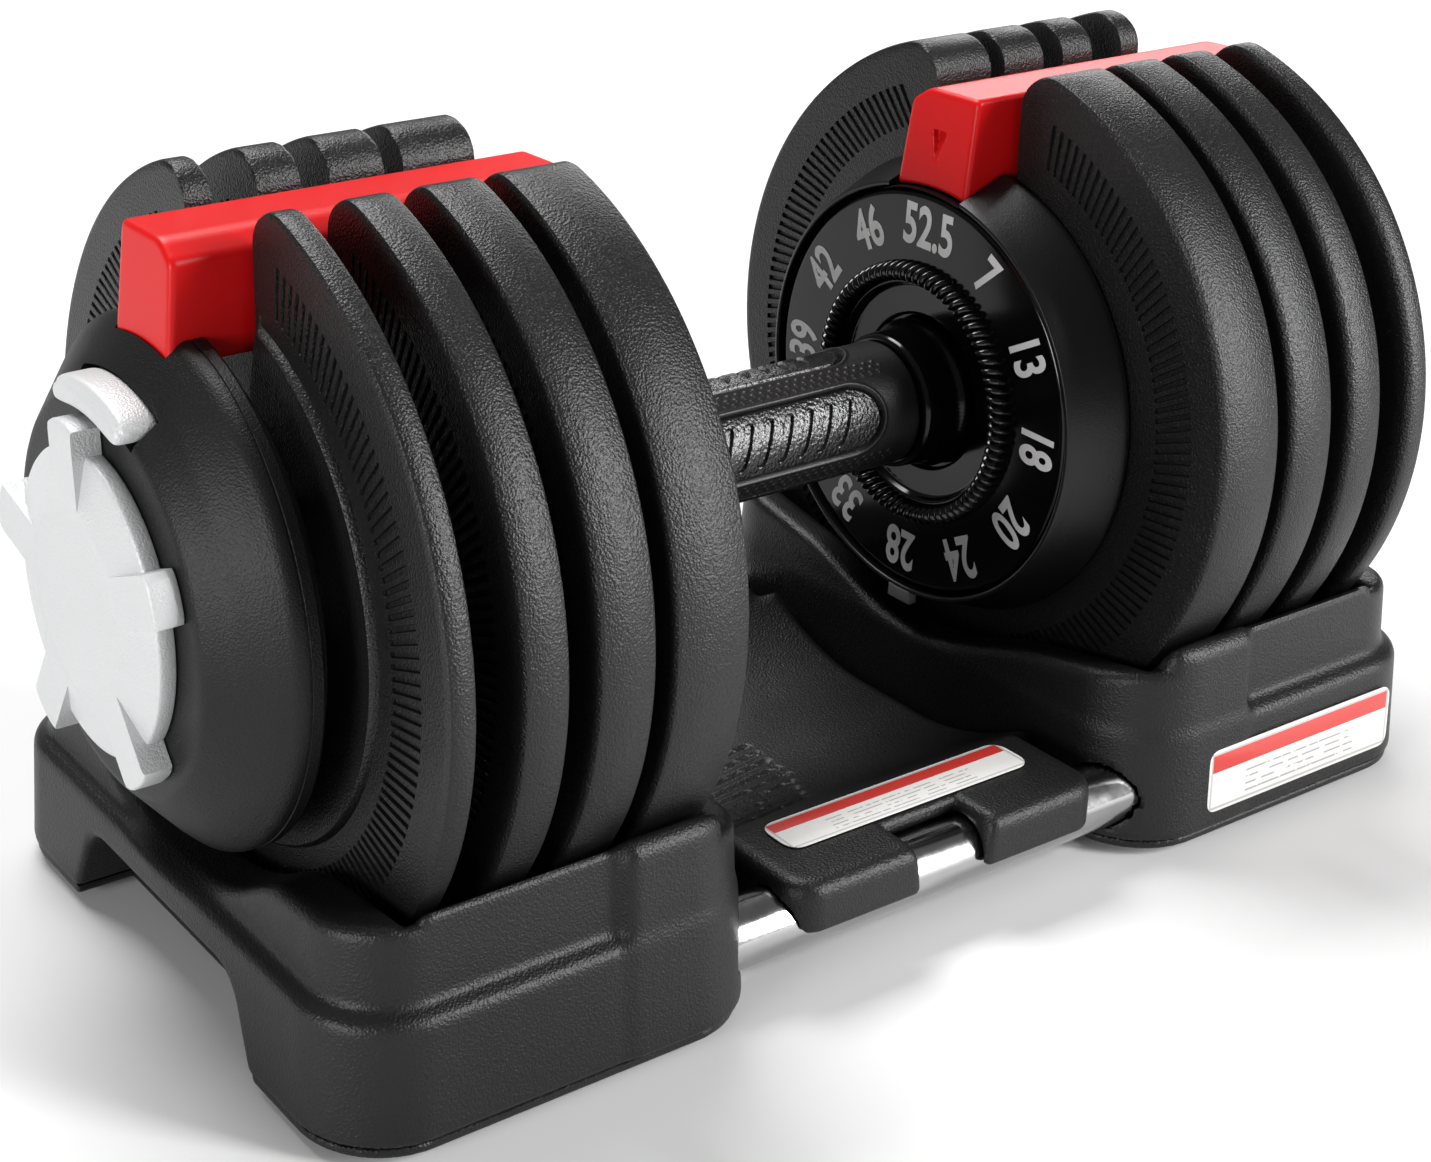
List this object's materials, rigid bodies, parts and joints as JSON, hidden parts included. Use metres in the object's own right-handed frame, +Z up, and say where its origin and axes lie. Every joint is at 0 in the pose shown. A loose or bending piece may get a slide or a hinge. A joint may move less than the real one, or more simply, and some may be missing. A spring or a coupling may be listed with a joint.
{
  "type": "adjustable dumbbell with tray",
  "caption": "Adjustable dumbbell with slotted coated weight plates, red spines, numbered twist dials, silver end knobs and a rubber grip, docked in a low tray of two cradles joined by tubes.",
  "frame": {"origin": "centre of the footprint on the floor the tray stands on, under the middle of the grip", "axes": "+X along the grip towards the labelled cradle's end, +Y across the tray away from its labelled side, +Z up"},
  "size_m": [0.4028, 0.1998, 0.2078],
  "materials": {
    "tray_plastic": "fine moulded texture",
    "foot_rubber": "matte",
    "tube_chrome": "polished",
    "label_print": "satin printed sheet",
    "plate_coating": "pebbled black coating over steel",
    "red_plastic": "glossy",
    "housing_plastic": "fine moulded texture",
    "shaft_steel": "plain",
    "silver_plastic": "silver grey, finely grained",
    "grip_rubber": "soft, dimpled",
    "gloss_black": "polished",
    "ring_plastic": "satin, ribbed"
  },
  "bodies": {
    "tray": {"base_left": "tray_plastic", "base_right": "tray_plastic", "cradle_left": "tray_plastic", "cradle_right": "tray_plastic", "foot_left_back": "foot_rubber", "foot_left_front": "foot_rubber", "foot_right_back": "foot_rubber", "foot_right_front": "foot_rubber", "label_cradle": "label_print", "label_tray": "label_print", "tray_plate": "tray_plastic", "tube_back": "tube_chrome", "tube_front": "tube_chrome"},
    "handle_frame": {"spine_left": "red_plastic", "spine_right": "red_plastic", "shroud_left": "housing_plastic", "shroud_right": "housing_plastic", "end_hub_left": "housing_plastic", "end_hub_right": "housing_plastic", "end_cap_left": "housing_plastic", "end_cap_right": "housing_plastic", "bushing_left": "shaft_steel", "bushing_right": "shaft_steel"},
    "rotor": {"shaft": "shaft_steel", "grip": "grip_rubber", "grip_core": "shaft_steel", "grip_panel_1": "gloss_black", "grip_panel_2": "gloss_black", "grip_panel_3": "gloss_black", "grip_panel_4": "gloss_black", "grip_panel_5": "gloss_black", "grip_panel_6": "gloss_black", "collar_left": "gloss_black", "collar_right": "gloss_black", "dial_left": "gloss_black", "dial_right": "gloss_black", "knurl_ring_left": "ring_plastic", "knurl_ring_right": "ring_plastic", "knob_left": "silver_plastic", "knob_right": "silver_plastic", "selector_a_left": "shaft_steel", "selector_a_right": "shaft_steel", "selector_b_left": "shaft_steel", "selector_b_right": "shaft_steel", "selector_c_left": "shaft_steel", "selector_c_right": "shaft_steel", "selector_d_left": "shaft_steel", "selector_d_right": "shaft_steel"},
    "latch_left": {"latch_left": "silver_plastic"},
    "latch_right": {"latch_right": "silver_plastic"},
    "plate_a_left": {"plate_a_left": "plate_coating"},
    "plate_a_right": {"plate_a_right": "plate_coating"},
    "plate_b_left": {"plate_b_left": "plate_coating"},
    "plate_b_right": {"plate_b_right": "plate_coating"},
    "plate_c_left": {"plate_c_left": "plate_coating"},
    "plate_c_right": {"plate_c_right": "plate_coating"},
    "plate_d_left": {"plate_d_left": "plate_coating"},
    "plate_d_right": {"plate_d_right": "plate_coating"}
  },
  "joints": [
    {"name": "lift", "type": "slide", "parent": "tray", "child": "handle_frame", "axis": [0, 0, 1], "range_m": [0, 0.25]},
    {"name": "dial_turn", "type": "hinge", "parent": "handle_frame", "child": "rotor", "pos_m": [0, 0, 0.112], "axis": [1, 0, 0], "continuous": true},
    {"name": "latch_press_left", "type": "slide", "parent": "handle_frame", "child": "latch_left", "axis": [1, 0, 0], "range_m": [0, 0.002], "stiffness_N_per_m": 1500, "springref_m": -0.002},
    {"name": "latch_press_right", "type": "slide", "parent": "handle_frame", "child": "latch_right", "axis": [-1, 0, 0], "range_m": [0, 0.002], "stiffness_N_per_m": 1500, "springref_m": -0.002},
    {"name": "plate_a_left_lift", "type": "slide", "parent": "tray", "child": "plate_a_left", "axis": [0, 0, 1], "range_m": [0, 0.25]},
    {"name": "plate_a_right_lift", "type": "slide", "parent": "tray", "child": "plate_a_right", "axis": [0, 0, 1], "range_m": [0, 0.25]},
    {"name": "plate_b_left_lift", "type": "slide", "parent": "tray", "child": "plate_b_left", "axis": [0, 0, 1], "range_m": [0, 0.25]},
    {"name": "plate_b_right_lift", "type": "slide", "parent": "tray", "child": "plate_b_right", "axis": [0, 0, 1], "range_m": [0, 0.25]},
    {"name": "plate_c_left_lift", "type": "slide", "parent": "tray", "child": "plate_c_left", "axis": [0, 0, 1], "range_m": [0, 0.25]},
    {"name": "plate_c_right_lift", "type": "slide", "parent": "tray", "child": "plate_c_right", "axis": [0, 0, 1], "range_m": [0, 0.25]},
    {"name": "plate_d_left_lift", "type": "slide", "parent": "tray", "child": "plate_d_left", "axis": [0, 0, 1], "range_m": [0, 0.25]},
    {"name": "plate_d_right_lift", "type": "slide", "parent": "tray", "child": "plate_d_right", "axis": [0, 0, 1], "range_m": [0, 0.25]}
  ],
  "couplings": [
    {"joint": "plate_a_left_lift", "follows": "lift", "ratio": 1},
    {"joint": "plate_a_right_lift", "follows": "lift", "ratio": 1},
    {"joint": "plate_b_left_lift", "follows": "lift", "ratio": 1},
    {"joint": "plate_b_right_lift", "follows": "lift", "ratio": 1},
    {"joint": "plate_c_left_lift", "follows": "lift", "ratio": 1},
    {"joint": "plate_c_right_lift", "follows": "lift", "ratio": 1},
    {"joint": "plate_d_left_lift", "follows": "lift", "ratio": 1},
    {"joint": "plate_d_right_lift", "follows": "lift", "ratio": 1}
  ]
}
